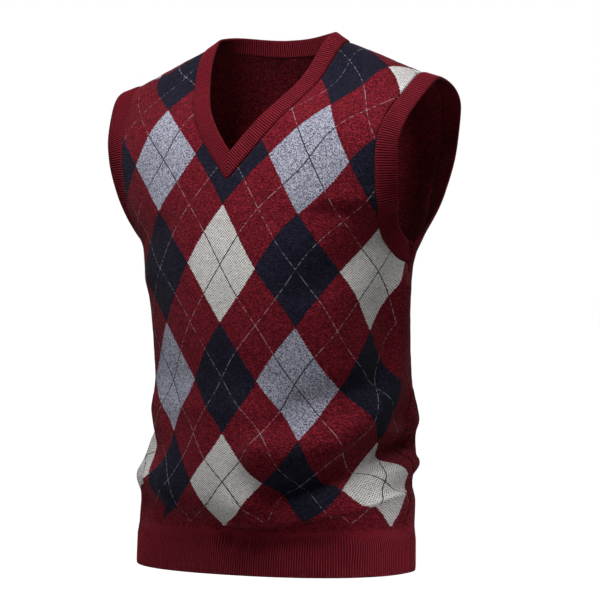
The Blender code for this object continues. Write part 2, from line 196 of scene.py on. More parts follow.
def foldRise(points, foldList):
    bearing = np.degrees(np.arctan2(points[..., 0], -points[..., 1]))
    total = np.zeros(bearing.shape)
    for fold in foldList:
        nearest = np.full(bearing.shape, np.inf)
        for (bearingA, heightA), (bearingB, heightB) in zip(fold.path[:-1], fold.path[1:]):
            run = math.radians(bearingB - bearingA) * folds["radius"]
            along = np.array([run, heightB - heightA])
            turned = (bearing - bearingA + 180) % 360 - 180
            place = [np.radians(turned) * folds["radius"], points[..., 2] - heightA]
            place = np.stack(place, axis=-1)
            share = np.clip(place @ along / (along @ along), 0, 1)
            nearest = np.minimum(nearest, np.linalg.norm(place - share[..., None] * along, axis=-1))
        total += fold.rise * np.exp(-((nearest / fold.halfWidth) ** 2))
    return total


def unit(vectors):
    return vectors / np.maximum(np.linalg.norm(vectors, axis=-1, keepdims=True), 1e-12)


def sectionGrid(facing, levels):
    shares = np.linspace(-1, 1, grain["across"])
    turns = np.linspace(0, math.pi / 2, grain["section"])
    power = 2 / body["squareness"]
    rows, halves = [], []
    for height, halfWidth, front, back, sideY, fall in rowsAt(levels):
        x = halfWidth * np.sin(turns) ** power
        y = sideY + facing * (front if facing < 0 else back) * np.cos(turns) ** power
        z = height - fall * shoulderDrop(x)
        steps = np.sqrt(np.diff(x) ** 2 + np.diff(y) ** 2 + np.diff(z) ** 2)
        cloth = np.concatenate([[0.0], np.cumsum(steps)])
        halves.append(cloth[-1])
        reach = np.abs(shares) * cloth[-1]
        row = [np.sign(shares) * np.interp(reach, cloth, x)]
        row += [np.interp(reach, cloth, y), np.interp(reach, cloth, z)]
        rows.append(np.stack(row, axis=-1))
    return np.array(rows), np.array(halves)


def gridNormals(own, other, facing):
    up, across = np.gradient(own, axis=0), np.gradient(own, axis=1)
    up[-1] = other[-2] - own[-2]
    across[:, 0] = own[:, 1] - other[:, 1]
    across[:, -1] = other[:, -2] - own[:, -2]
    return unit(np.cross(across, up)) * -facing


Cloth = namedtuple("Cloth", "facing levels halves points normals")


def wornCloth():
    levels = np.linspace(0, topLevel, grain["levels"])
    (front, frontHalves), (back, backHalves) = (sectionGrid(f, levels) for f in (-1, 1))
    for foldList in (folds["main"], folds["fine"]):
        normals = gridNormals(front, back, -1), gridNormals(back, front, 1)
        front = front + normals[0] * foldRise(front, foldList)[..., None]
        back = back + normals[1] * foldRise(back, foldList)[..., None]
    return (
        Cloth(-1, levels, frontHalves, front, gridNormals(front, back, -1)),
        Cloth(1, levels, backHalves, back, gridNormals(back, front, 1)),
    )


def readCloth(cloth, across, levels):
    across, levels = np.broadcast_arrays(across, levels)
    half = np.interp(levels, cloth.levels, cloth.halves)
    column = (np.clip(across / half, -1, 1) + 1) / 2 * (grain["across"] - 1)
    row = np.clip(levels / topLevel, 0, 1) * (grain["levels"] - 1)
    j = np.minimum(column.astype(int), grain["across"] - 2)
    i = np.minimum(row.astype(int), grain["levels"] - 2)
    a, b = (column - j)[..., None], (row - i)[..., None]
    read = []
    for grid in (cloth.points, cloth.normals):
        low = grid[i, j] * (1 - a) + grid[i, j + 1] * a
        high = grid[i + 1, j] * (1 - a) + grid[i + 1, j + 1] * a
        read.append(low * (1 - b) + high * b)
    return read[0], unit(read[1])


def levelOfHeight(height):
    levels = np.linspace(0, topLevel, 241)
    return float(np.interp(height, rowsAt(levels)[:, 0], levels))


shoulderHeight = body["rows"][-1].height
vLevel = levelOfHeight(shoulderHeight - cut["neckPointDrop"])
napeLevel = levelOfHeight(shoulderHeight - cut["backNeckDrop"])


def frontNeckHalf(levels):
    up = np.clip((levels - vLevel) / (topLevel - vLevel), 0, 1)
    return cut["neckHalf"] * (1 - (1 - up) ** cut["neckLegBow"])


def backNeckHalf(levels):
    up = np.clip((levels - napeLevel) / (topLevel - napeLevel), 0, 1)
    return cut["neckHalf"] * np.sqrt(1 - (1 - up) ** 2)


def armholeHalf(cloth, crossHalf, levels):
    gap, roundness, scoopHeight = cut["seamGap"], cut["armholeRoundness"], cut["armholeScoop"]
    side = np.interp(levels, cloth.levels, cloth.halves) - gap / 2
    underarm = np.interp(underarmLevel, cloth.levels, cloth.halves) - gap / 2
    up = levels - underarmLevel
    scoop = np.clip(up / scoopHeight, 0, 1)
    foot = (1 - (1 - scoop) ** roundness) ** (1 / roundness)
    half = crossHalf + (underarm - crossHalf) * (1 - foot)
    flare = np.clip((up - scoopHeight) / (topLevel - underarmLevel - scoopHeight), 0, 1)
    half = half + (cut["shoulderHalf"] - crossHalf) * flare * flare * (3 - 2 * flare)
    return np.where(up <= 0, side, half)


frontCloth, backCloth = wornCloth()
print("worn cloth laid out, %.0f mm from hem edge to shoulder" % (topLevel * 1000))


class Wiring:
    # lays out the nodes of one material and joins them
    def __init__(self, name):
        self.material = bpy.data.materials.new(name)
        self.material.use_nodes = True
        self.tree = self.material.node_tree
        self.shader = self.tree.nodes["Principled BSDF"]

    def join(self, value, socket):
        if isinstance(value, bpy.types.NodeSocket):
            self.tree.links.new(value, socket)
        elif value is not None:
            socket.default_value = value

    def node(self, kind, inputs=(), output=0, **settings):
        made = self.tree.nodes.new(kind)
        for key, value in settings.items():
            setattr(made, key, value)
        for key, value in dict(inputs).items():
            self.join(value, made.inputs[key])
        return made.outputs[output]

    def math(self, operation, a, b=None, c=None):
        return self.node("ShaderNodeMath", {0: a, 1: b, 2: c}, operation=operation)

    def mix(self, factor, a, b):
        inputs = {0: factor, 6: a, 7: b}
        return self.node("ShaderNodeMix", inputs, output=2, data_type="RGBA")

    def mixValue(self, factor, a, b):
        return self.node("ShaderNodeMix", {0: factor, 2: a, 3: b}, data_type="FLOAT")

    def coordinates(self, scaleU, scaleV):
        uv = self.node("ShaderNodeUVMap", uv_map="knit")
        split = self.tree.nodes.new("ShaderNodeSeparateXYZ")
        self.tree.links.new(uv, split.inputs[0])
        scaled = zip(split.outputs, (scaleU, scaleV))
        return [self.math("MULTIPLY", place, scale) for place, scale in scaled]

    def whole(self, place, perUnit=None):
        # the number of the cell, stitch or fleck that a place lies in
        if perUnit is not None:
            place = self.math("MULTIPLY", place, perUnit)
        return self.math("FLOOR", place)

    def odd(self, number):
        return self.math("FLOORED_MODULO", number, 2)

    def fromMiddle(self, place):
        # how far a place lies from the middle of its own cell
        return self.math("ABSOLUTE", self.math("SUBTRACT", self.math("FRACT", place), 0.5))

    def shade(self, colour, height, depth):
        # painted shade: darker where the height is low
        factor = self.math("MULTIPLY_ADD", height, depth, 1 - depth)
        return self.node("ShaderNodeVectorMath", {0: colour, "Scale": factor}, operation="SCALE")

    def randomAt(self, a, b, seed):
        place = self.node("ShaderNodeCombineXYZ", {0: a, 1: b, 2: seed})
        return self.node("ShaderNodeTexWhiteNoise", {"Vector": place}, noise_dimensions="3D")


yarns = {
    # the two plies of each
    "burgundy": ((0.062, 0.0010, 0.0040, 1), (0.350, 0.0210, 0.0410, 1)),
    "navy": ((0.0035, 0.0038, 0.0120, 1), (0.0290, 0.0270, 0.0500, 1)),
    "cream": ((0.980, 0.960, 0.940, 1), (0.100, 0.093, 0.090, 1)),
    "greyBlue": ((0.640, 0.640, 0.750, 1), (0.040, 0.046, 0.095, 1)),
    "lineDark": (0.012, 0.012, 0.016, 1),
    "lineLight": (0.500, 0.450, 0.470, 1),
    "sheenTint": (1.0, 0.86, 0.86, 1),
    "sheenRoughness": 0.45,
    "gloss": 0.10,
}

# one for each random draw
seeds = {
    "jersey": 0.5, "plain": 1.5, "rib": 2.5, "streak": 3.5, "marl": 4.5, "slub": 7.5, "dash": 9.5,
}

jersey = {
    "walesPerDiamond": 76,
    "coursesPerDiamond": 120,
    "columns": 2.5,          # the pattern stops this many columns from the centre, at the seams
    "hemStart": 0.02,        # and begins this far above the hem, in diamonds
    "darkLine": 0.0088,      # half widths of the thin crossing lines, in diamonds
    "lightLine": 0.0046,
    "darkStrength": 0.93,
    "dashes": 0.5,           # dashes to a course in the light lines, and the share left out
    "dashGaps": 0.48,
    "dashStrength": 0.50,    # how much a dash shows over what the line shows between them
    "dashLeast": 0.07,
    "flecks": 1.25,          # flecks of colour to a stitch in the grey-blue marl
    "birdseye": 0.72,        # and dots to a stitch in the cream
    "dotLeast": 0.34,        # how dark a dot is at least, and how much more by chance
    "dotChance": 0.60,
    "slubs": 0.25,           # slubs to a stitch in the cream, and how dark they are
    "slubShade": 0.16,
    "streaks": 0.5,          # streaks to a stitch in burgundy and navy
    "streakLeast": 0.2,
    "paintedGapShade": 0.42,            # painted shade: how much darker the cloth is between the stitches
    "loopSlant": 0.55,       # how far the legs of a stitch lean, in courses
    "loopDip": 0.45,         # how far one loop passes under the next
    "bump": 0.55,
    "loopDepth": 0.0004,
    "roughness": 0.90,
    "sheen": 0.02,
}


def clothShader(wires, colour, height, look):
    shader = wires.shader
    relief = {"Strength": look["bump"], "Distance": look["loopDepth"], "Height": height}
    bump = wires.node("ShaderNodeBump", relief)
    wires.join(colour, shader.inputs["Base Color"])
    wires.join(bump, shader.inputs["Normal"])
    shader.inputs["Roughness"].default_value = look["roughness"]
    shader.inputs["Specular IOR Level"].default_value = yarns["gloss"]
    shader.inputs["Sheen Weight"].default_value = look["sheen"]
    shader.inputs["Sheen Roughness"].default_value = yarns["sheenRoughness"]
    shader.inputs["Sheen Tint"].default_value = yarns["sheenTint"]


def stitchHeight(wires, wale, course):
    # the two leaning legs of each stitch, and a dip where one loop passes under the next
    leg = wires.math("MULTIPLY", wires.fromMiddle(wale), 2)
    legs = wires.math("SINE", wires.math("MULTIPLY", leg, math.pi))
    lean = wires.math("MULTIPLY", leg, jersey["loopSlant"])
    turn = wires.math("FRACT", wires.math("ADD", course, lean))
    turn = wires.math("SINE", wires.math("MULTIPLY", turn, math.pi))
    along = wires.math("MULTIPLY_ADD", turn, jersey["loopDip"], 1 - jersey["loopDip"])
    return wires.math("MULTIPLY", legs, along)


def plainYarn(wires, name, blend):
    first, second = yarns[name]
    return wires.mix(blend, first, second)


def argyleMaterial():
    wires = Wiring("argyle_knit")
    wales, courses = jersey["walesPerDiamond"], jersey["coursesPerDiamond"]
    wale, course = wires.coordinates(wales, courses)
    stitchU, stitchV = wires.whole(wale), wires.whole(course)
    chance = wires.randomAt(stitchU, stitchV, seeds["jersey"])
    # colours change from one whole stitch to the next, so u and v stop at stitch centres
    u = wires.math("DIVIDE", wires.math("ADD", stitchU, 0.5), wales)
    v = wires.math("DIVIDE", wires.math("ADD", stitchV, 0.5), courses)
    cellA = wires.whole(wires.math("ADD", u, v))
    cellB = wires.whole(wires.math("SUBTRACT", u, v))
    cells = wires.math("ADD", cellA, cellB)
    inside = wires.math("LESS_THAN", wires.math("ABSOLUTE", u), jersey["columns"])
    inside = wires.math("MULTIPLY", inside, wires.math("GREATER_THAN", v, jersey["hemStart"]))
    diamond = wires.math("MULTIPLY", wires.odd(cells), inside)
    columnOdd = wires.odd(wires.math("MULTIPLY", wires.math("ADD", cells, 1), 0.5))
    row = wires.math("SUBTRACT", wires.math("SUBTRACT", cellA, cellB), 1)
    rowOdd = wires.odd(wires.math("MULTIPLY", row, 0.5))
    bothOdd = wires.math("MULTIPLY", columnOdd, rowOdd)
    eitherOdd = wires.math("MAXIMUM", columnOdd, rowOdd)
    isGrey = wires.math("MULTIPLY", diamond, wires.math("GREATER_THAN", bothOdd, 0.5))
    isCream = wires.math("MULTIPLY", diamond, wires.math("LESS_THAN", eitherOdd, 0.5))
    # each yarn has its own fleck
    eyeU, eyeV = [wires.whole(place, jersey["birdseye"]) for place in (wale, course)]
    dots = wires.math("MULTIPLY_ADD", chance, jersey["dotChance"], jersey["dotLeast"])
    birdseye = wires.math("MULTIPLY", wires.odd(wires.math("ADD", eyeU, eyeV)), dots)
    slub = wires.randomAt(wires.whole(wale, jersey["slubs"]), stitchV, seeds["slub"])
    birdseye = wires.math("MULTIPLY_ADD", slub, jersey["slubShade"], birdseye)
    fleckU, fleckV = [wires.whole(place, jersey["flecks"]) for place in (wale, course)]
    marl = wires.randomAt(fleckU, fleckV, seeds["marl"])
    streak = wires.randomAt(wires.whole(wale, jersey["streaks"]), stitchV, seeds["streak"])
    least = jersey["streakLeast"]
    heather = wires.math("MULTIPLY", wires.math("MULTIPLY_ADD", streak, 1 - least, least), chance)
    colour = plainYarn(wires, "burgundy", heather)
    colour = wires.mix(diamond, colour, plainYarn(wires, "navy", heather))
    colour = wires.mix(isGrey, colour, plainYarn(wires, "greyBlue", marl))
    colour = wires.mix(isCream, colour, plainYarn(wires, "cream", birdseye))
    # thin overchecks cross at the middle of every cell, sewn in over the stitches
    smoothU, smoothV = wires.math("DIVIDE", wale, wales), wires.math("DIVIDE", course, courses)
    nearA = wires.fromMiddle(wires.math("ADD", smoothU, smoothV))
    nearB = wires.fromMiddle(wires.math("SUBTRACT", smoothU, smoothV))
    near = wires.math("MINIMUM", nearA, nearB)
    pale = wires.math("MAXIMUM", isGrey, isCream)
    darkLine = wires.math("MULTIPLY", wires.math("LESS_THAN", near, jersey["darkLine"]), pale)
    lightLine = wires.math("LESS_THAN", near, jersey["lightLine"])
    lightLine = wires.math("MULTIPLY", lightLine, wires.math("SUBTRACT", 1, pale))
    dash = wires.randomAt(cellA, wires.whole(course, jersey["dashes"]), seeds["dash"])
    dash = wires.math("GREATER_THAN", dash, jersey["dashGaps"])
    dash = wires.math("MULTIPLY_ADD", dash, jersey["dashStrength"], jersey["dashLeast"])
    lightLine = wires.math("MULTIPLY", lightLine, wires.math("MULTIPLY", dash, inside))
    darkLine = wires.math("MULTIPLY", darkLine, jersey["darkStrength"])
    colour = wires.mix(darkLine, colour, yarns["lineDark"])
    colour = wires.mix(lightLine, colour, yarns["lineLight"])
    height = stitchHeight(wires, wale, course)
    # painted shade between the stitches, where the stitch height is low
    clothShader(wires, wires.shade(colour, height, jersey["paintedGapShade"]), height, jersey)
    return wires.material


def plainMaterial():
    wires = Wiring("plain_knit")
    wale, course = wires.coordinates(jersey["walesPerDiamond"], jersey["coursesPerDiamond"])
    chance = wires.randomAt(wires.whole(wale), wires.whole(course), seeds["plain"])
    colour = plainYarn(wires, "burgundy", wires.math("MULTIPLY", chance, chance))
    height = stitchHeight(wires, wale, course)
    # painted shade between the stitches, where the stitch height is low
    clothShader(wires, wires.shade(colour, height, jersey["paintedGapShade"]), height, jersey)
    return wires.material


rib = {
    "pitch": 0.0030,
    "columns": 6,            # mesh columns to a rib
    "relief": 0.0011,
    "coursesPerRib": 2.2,    # courses in one rib pitch of length
    "bump": 0.5,
    "loopDepth": 0.0004,
    "roughness": 0.92,
    "sheen": 0.02,
    "furrow": 0.86,          # painted shade: how much darker the furrows are
    "plainShade": 0.25,      # how shaded the plain knit above a hem's ribs is, against a ridge
    "hemFade": 5.0,          # rib widths over which the hem's ribs grow from plain knit
    "plyLeast": 0.45,        # share of the lighter ply on a ridge, and how much more by chance; the furrows take only the darker ply, a painted shade
    "plyChance": 0.30,
}


def ribMaterial(name, fadeIn):
    # fadeIn is how many rib widths the ribs take to grow from plain knit
    wires = Wiring(name)
    wale, course = wires.coordinates(1, rib["coursesPerRib"])
    chance = wires.randomAt(wires.whole(wale, 2), wires.whole(course), seeds["rib"])
    ridge = wires.math("COSINE", wires.math("MULTIPLY", wale, 2 * math.pi))
    ridge = wires.math("MULTIPLY_ADD", ridge, 0.5, 0.5)
    if fadeIn:
        grown = wires.math("DIVIDE", course, fadeIn * rib["coursesPerRib"])
        grown = wires.math("MINIMUM", grown, 1)
        ridge = wires.mixValue(grown, 1 - rib["plainShade"], ridge)
    lit = wires.math("MULTIPLY_ADD", chance, rib["plyChance"], rib["plyLeast"])
    # ridges take more of the lighter ply and furrows only the darker one: painted light and shade
    # across each rib, over a random mix of plies
    yarn = plainYarn(wires, "burgundy", wires.math("MULTIPLY", ridge, lit))
    # painted shade in the furrows
    colour = wires.shade(yarn, ridge, rib["furrow"])
    clothShader(wires, colour, stitchHeight(wires, wale, course), rib)
    return wires.material


materials = {
    "argyle_knit": argyleMaterial(),
    "plain_knit": plainMaterial(),
    "rib_knit": ribMaterial("rib_knit", 0),
    "hem_rib_knit": ribMaterial("hem_rib_knit", rib["hemFade"]),
}
print("yarns mixed:", ", ".join(materials))


def newPiece(name, points, faces, faceUv, materialName, flatFaces, joinNormals):
    mesh = bpy.data.meshes.new(name)
    faces = np.asarray(faces, dtype=np.int32)
    corners = faces.shape[1]
    mesh.vertices.add(len(points))
    mesh.vertices.foreach_set("co", np.asarray(points, dtype=np.float32).ravel())
    mesh.loops.add(faces.size)
    mesh.loops.foreach_set("vertex_index", faces.ravel())
    mesh.polygons.add(len(faces))
    mesh.polygons.foreach_set("loop_start", np.arange(0, faces.size, corners, dtype=np.int32))
    mesh.update(calc_edges=True)
    mesh.uv_layers.new(name="knit")
    mesh.uv_layers["knit"].uv.foreach_set("vector", np.asarray(faceUv, dtype=np.float32).ravel())
    mesh.materials.append(materials[materialName])
    mesh.polygons.foreach_set("use_smooth", ~flatFaces)   # the cut edges stay crisp
    # where two pieces are knitted in one, both take the cloth's own normals at the join
    mesh.normals_split_custom_set_from_vertices(joinNormals)
    piece = bpy.data.objects.new(name, mesh)
    bpy.context.scene.collection.objects.link(piece)
    return piece


def turnedOut(points, faces):
    # faces in the order that points outwards
    a, b, c, d = (points[faces[:, k]] for k in range(4))
    volume = (np.cross(b - a, c - a) * a).sum() + (np.cross(c - a, d - a) * a).sum()
    return faces if volume > 0 else faces[:, ::-1]


argyle = {
    "columnWide": 0.098,
    "rowTall": 0.1325,
    "easing": 0.080,         # how far round it a pin pulls the pattern
    "slack": 0.02,
    # column and row of a point of the pattern, and where the worn cloth carries it:
    # millimetres across from the centre line, and up from the hem edge
    "pins": (
        (-2.0, 0.0, -170, 95), (-1.0, 0.0, -104, 56), (0.0, 0.0, -7, 53), (1.0, 0.0, 98, 77),
        (2.0, 0.0, 215, 53), (-0.75, 0.25, -56, 96), (-0.25, 0.25, -14, 93), (0.25, 0.25, 37, 97),
        (-1.0, 0.5, -66, 119), (-0.5, 0.5, -36, 119), (0.0, 0.5, 9, 121), (0.5, 0.5, 55, 120),
        (1.0, 0.5, 100, 115), (1.5, 0.5, 147, 108), (2.0, 0.5, 204, 120), (2.5, 0.5, 251, 128),
        (-0.75, 0.75, -50, 152), (-0.25, 0.75, -14, 151), (0.25, 0.75, 37, 151), (-1.0, 1.0, -62, 181),
        (0.0, 1.0, 7, 179), (1.0, 1.0, 98, 170), (2.0, 1.0, 205, 171), (-1.0, 1.5, -69, 244),
        (-0.5, 1.5, -35, 245), (0.0, 1.5, 4, 249), (0.5, 1.5, 45, 244), (1.0, 1.5, 90, 240),
        (1.5, 1.5, 141, 235), (2.0, 1.5, 195, 235), (2.5, 1.5, 221, 242), (-1.0, 2.0, -84, 312),
        (0.0, 2.0, 2, 312), (1.0, 2.0, 93, 306), (2.0, 2.0, 187, 302), (-1.0, 2.5, -96, 376),
        (-0.5, 2.5, -46, 383), (0.0, 2.5, 0, 380), (0.5, 2.5, 45, 375), (1.0, 2.5, 92, 374),
        (1.5, 2.5, 147, 371), (2.0, 2.5, 198, 372), (2.5, 2.5, 245, 384), (-1.0, 3.0, -100, 449),
        (0.0, 3.0, -1, 452), (1.0, 3.0, 93, 442), (2.0, 3.0, 201, 429), (-1.5, 3.5, -146, 513),
        (-1.0, 3.5, -96, 513), (-0.5, 3.5, -48, 515), (0.5, 3.5, 52, 512), (1.0, 3.5, 103, 510),
        (1.5, 3.5, 149, 511), (-2.0, 4.0, -206, 690), (-1.5, 4.0, -156, 587), (-1.0, 4.0, -110, 584),
        (1.0, 4.0, 113, 584), (1.5, 4.0, 159, 580), (-1.5, 4.5, -160, 668), (-1.0, 4.5, -106, 643),
        (0.5, 4.5, 85, 628), (1.0, 4.5, 114, 661), (1.5, 4.5, 166, 672),
    ),
}


def pull(places, pins):
    apart = ((places[:, None] - pins[None]) ** 2).sum(-1)
    return np.exp(-apart / argyle["easing"] ** 2)


def frontPattern(across, levels):
    # a regular pattern, eased so that its points come where the pins hold them
    pins = np.array(argyle["pins"])
    held = pins[:, 2:] / 1000
    size = np.array([argyle["columnWide"], argyle["rowTall"]])
    start = np.array([0.0, ribTopLevel])
    moved = pins[:, :2] - (held - start) / size
    weights = np.linalg.solve(pull(held, held) + argyle["slack"] * np.eye(len(held)), moved)
    places = np.stack([across.ravel(), levels.ravel()], axis=-1)
    pattern = (places - start) / size + pull(places, held) @ weights
    return pattern[:, 0].reshape(across.shape), pattern[:, 1].reshape(across.shape)


def backPattern(across, levels):
    return across / argyle["columnWide"], (levels - ribTopLevel) / argyle["rowTall"]


panel = {
    "step": 0.0030,          # mesh spacing
    "scoopRows": 26,
    "columns": 84,           # on each side of the centre line
    "unevenness": 0.00035,   # slight hand-feel waves in the knit
    "innerLift": 0.0001,     # the inside lies this far off the cloth's own form
    "seamDip": 0.45,         # share of the thickness left where an edge is sewn
    "knitOn": 0.00003,       # the hem is knitted on, with no seam to see
    "calm": 0.030,           # how far above the hem the waves begin
}


def panelLevels(cloth, neckLevel):
    roundRows = 1 - np.cos(np.linspace(0, math.pi / 2, panel["scoopRows"] + 1))
    bottom, top = ribTopLevel + panel["knitOn"], topLevel - cut["seamGap"] / 2
    fixed = [bottom, neckLevel, *(underarmLevel + cut["armholeScoop"] * roundRows), top]
    if cloth.facing > 0:
        fixed.extend(neckLevel + (top - neckLevel) * roundRows[::2])
    fixed = np.unique(np.round(fixed, 5))
    levels = [fixed[0]]
    for low, high in zip(fixed[:-1], fixed[1:]):
        count = max(1, round((high - low) / panel["step"]))
        levels.extend(np.linspace(low, high, count + 1)[1:])
    return np.array(levels)


handWaves = {
    "directions": ((1.0, 0.3, 0.5), (0.2, 0.9, -0.7), (-0.6, 0.4, 1.0), (0.8, -0.7, 0.2)),
    "pace": 190,             # radians to a metre, and how much faster each next wave is
    "paceStep": 67,
    "shift": 1.7,
    "wobble": 1.3,           # how far a wave strays, and how slowly
    "wobblePace": 0.37,
}


def handFeel(points):
    # a sum of a few waves in unlike directions, the same at every run
    total = np.zeros(points.shape[:-1])
    for k, direction in enumerate(handWaves["directions"]):
        pace = handWaves["pace"] + handWaves["paceStep"] * k
        phase = points @ (np.array(direction) * pace) + handWaves["shift"] * k
        total += np.sin(phase + handWaves["wobble"] * np.sin(phase * handWaves["wobblePace"]))
    return total / len(handWaves["directions"])


def panelEdges(cloth, neckHalf, neckLevel, crossHalf):
    levels = panelLevels(cloth, neckLevel)
    neck = np.where(levels <= neckLevel + 1e-5, 0.0, neckHalf(levels))
    return levels, neck, armholeHalf(cloth, crossHalf, levels)


def buildPanel(name, cloth, edges, pattern, materialName):
    levels, neck, armhole = edges
    shares = np.linspace(0, 1, panel["columns"] + 1)
    count = panel["columns"] + 1
    allPoints, allNormals, allUv, allFaces, allDips, allCalms = [], [], [], [], [], []
    first = 0
    for side in (-1, 1):
        across = side * (neck[:, None] + shares * (armhole - neck)[:, None])
        points, normals = readCloth(cloth, across, levels[:, None])
        uv = np.stack(pattern(across, levels[:, None] + 0 * across), axis=-1)
        index = first + np.arange(across.size).reshape(across.shape)
        quads = [index[:-1, :-1], index[:-1, 1:], index[1:, 1:], index[1:, :-1]]
        order = -1 if side * cloth.facing > 0 else 1
        allFaces.append(np.stack(quads, axis=-1).reshape(-1, 4)[:, ::order])
        allPoints.append(points.reshape(-1, 3))
        allNormals.append(normals.reshape(-1, 3))
        allUv.append(uv.reshape(-1, 2))
        dip = np.ones(across.shape)
        dip[:, -1] = panel["seamDip"]
        dip[-1] = panel["seamDip"]
        dip[neck > 0, 0] = panel["seamDip"]
        allDips.append(dip.ravel())
        calm = np.clip((levels - ribTopLevel) / panel["calm"], 0, 1)
        allCalms.append(np.repeat(calm, count))
        first += across.size
    points, normals, uv = (np.vstack(part) for part in (allPoints, allNormals, allUv))
    faces = np.vstack(allFaces)
    # below the neck both halves share the centre line
    shared = np.where(neck <= 0)[0] * count
    half = first // 2
    renamed = np.arange(first)
    renamed[half + shared] = shared
    faces = renamed[faces]
    waves = handFeel(points) * panel["unevenness"] * np.concatenate(allCalms)
    points = points + normals * waves[:, None]
    inner = points + normals * panel["innerLift"]
    outer = points + normals * (cut["panelThickness"] * np.concatenate(allDips))[:, None]
    edgesOut = np.vstack([faces[:, [k, (k + 1) % 4]] for k in range(4)])
    keys = {(a, b) for a, b in edgesOut.tolist()}
    rim = [(a, b, b + first, a + first) for a, b in sorted(keys) if (b, a) not in keys]
    everyFace = np.vstack([faces[:, ::-1], faces + first, np.array(rim)])
    everyPoint = np.vstack([inner, outer])
    everyUv = np.vstack([uv, uv])
    used = np.zeros(len(everyPoint), dtype=bool)
    used[everyFace.ravel()] = True
    compact = np.cumsum(used) - 1
    everyFace = turnedOut(everyPoint, everyFace)
    isRim = np.arange(len(everyFace)) >= 2 * len(faces)
    atHem = np.tile(np.arange(first) % half < count, 2) & (np.arange(2 * first) >= first)
    joinNormals = np.where(atHem[:, None], np.vstack([normals, normals]), 0.0)[used]
    faces, faceUv = compact[everyFace], everyUv[everyFace]
    piece = newPiece(name, everyPoint[used], faces, faceUv, materialName, isRim, joinNormals)
    print(name, "knitted,", len(everyFace), "faces")
    return piece


frontEdges = panelEdges(frontCloth, frontNeckHalf, vLevel, cut["crossFrontHalf"])
backEdges = panelEdges(backCloth, backNeckHalf, napeLevel, cut["crossBackHalf"])
frontPanel = buildPanel("front_knit", frontCloth, frontEdges, frontPattern, "argyle_knit")
backPanel = buildPanel("back_knit", backCloth, backEdges, backPattern, "plain_knit")


band = {
    "outerRows": 14,
    "innerRows": 7,
    "edgeRows": 5,
    "edgeRound": 0.0016,     # how far the folded edge rounds past the last course
    "stand": 0.0031,         # how proud a doubled band stands
    "seamDip": 0.35,
    "seamRoll": 0.05,        # share of the width over which it swells from its seam
    "growth": 0.30,          # share of the hem's width over which its ribs grow
    "turnEase": 80,          # columns over which the neckband turns a corner
    "edgeRibs": 0.35,        # how much of the ribs is left at the folded edge
    "edgeFade": 0.06,        # share of the width over which they fade towards it
    "insideRibs": 0.7,       # how much of the ribs shows on the inside
    "insideFade": 0.1,
    "insideLift": 0.0002,
    "hemStep": 0.0030,       # a course this far up gives the way down to the hem edge
}


def bandProfile(sewn):
    # once round the cross-section: share of the width, lift off the wall, how much the ribs
    # stand out; down the outside, round the free edge, up the inside
    rows = []
    low = cut["panelThickness"] * (band["seamDip"] if sewn else 1.0)
    for share in np.linspace(0, 1, band["outerRows"]):
        if sewn:
            grown = 1 - math.exp(-share / band["seamRoll"])
            ribs = min(1.0, share / band["seamRoll"])
        else:
            grown = min(1.0, share / band["growth"])
            ribs = grown ** 2
        ribs *= min(1.0, band["edgeRibs"] + (1 - share) / band["edgeFade"])
        rows.append((share, low + (band["stand"] - low) * grown, ribs))
    for turn in np.linspace(0, math.pi, band["edgeRows"] + 2)[1:-1]:
        lift = band["stand"] * (0.5 + 0.5 * math.cos(turn))
        rows.append((1 + math.sin(turn), lift, band["edgeRibs"] * math.cos(turn)))
    for share in np.linspace(1, 0, band["innerRows"]):
        ribs = -band["insideRibs"] * min(1.0, share / band["insideFade"])
        rows.append((share, band["insideLift"], ribs))
    return rows


def ribWave(columns):
    turn = np.arange(columns) / rib["columns"] * 2 * math.pi
    return 0.5 + 0.5 * np.cos(turn)


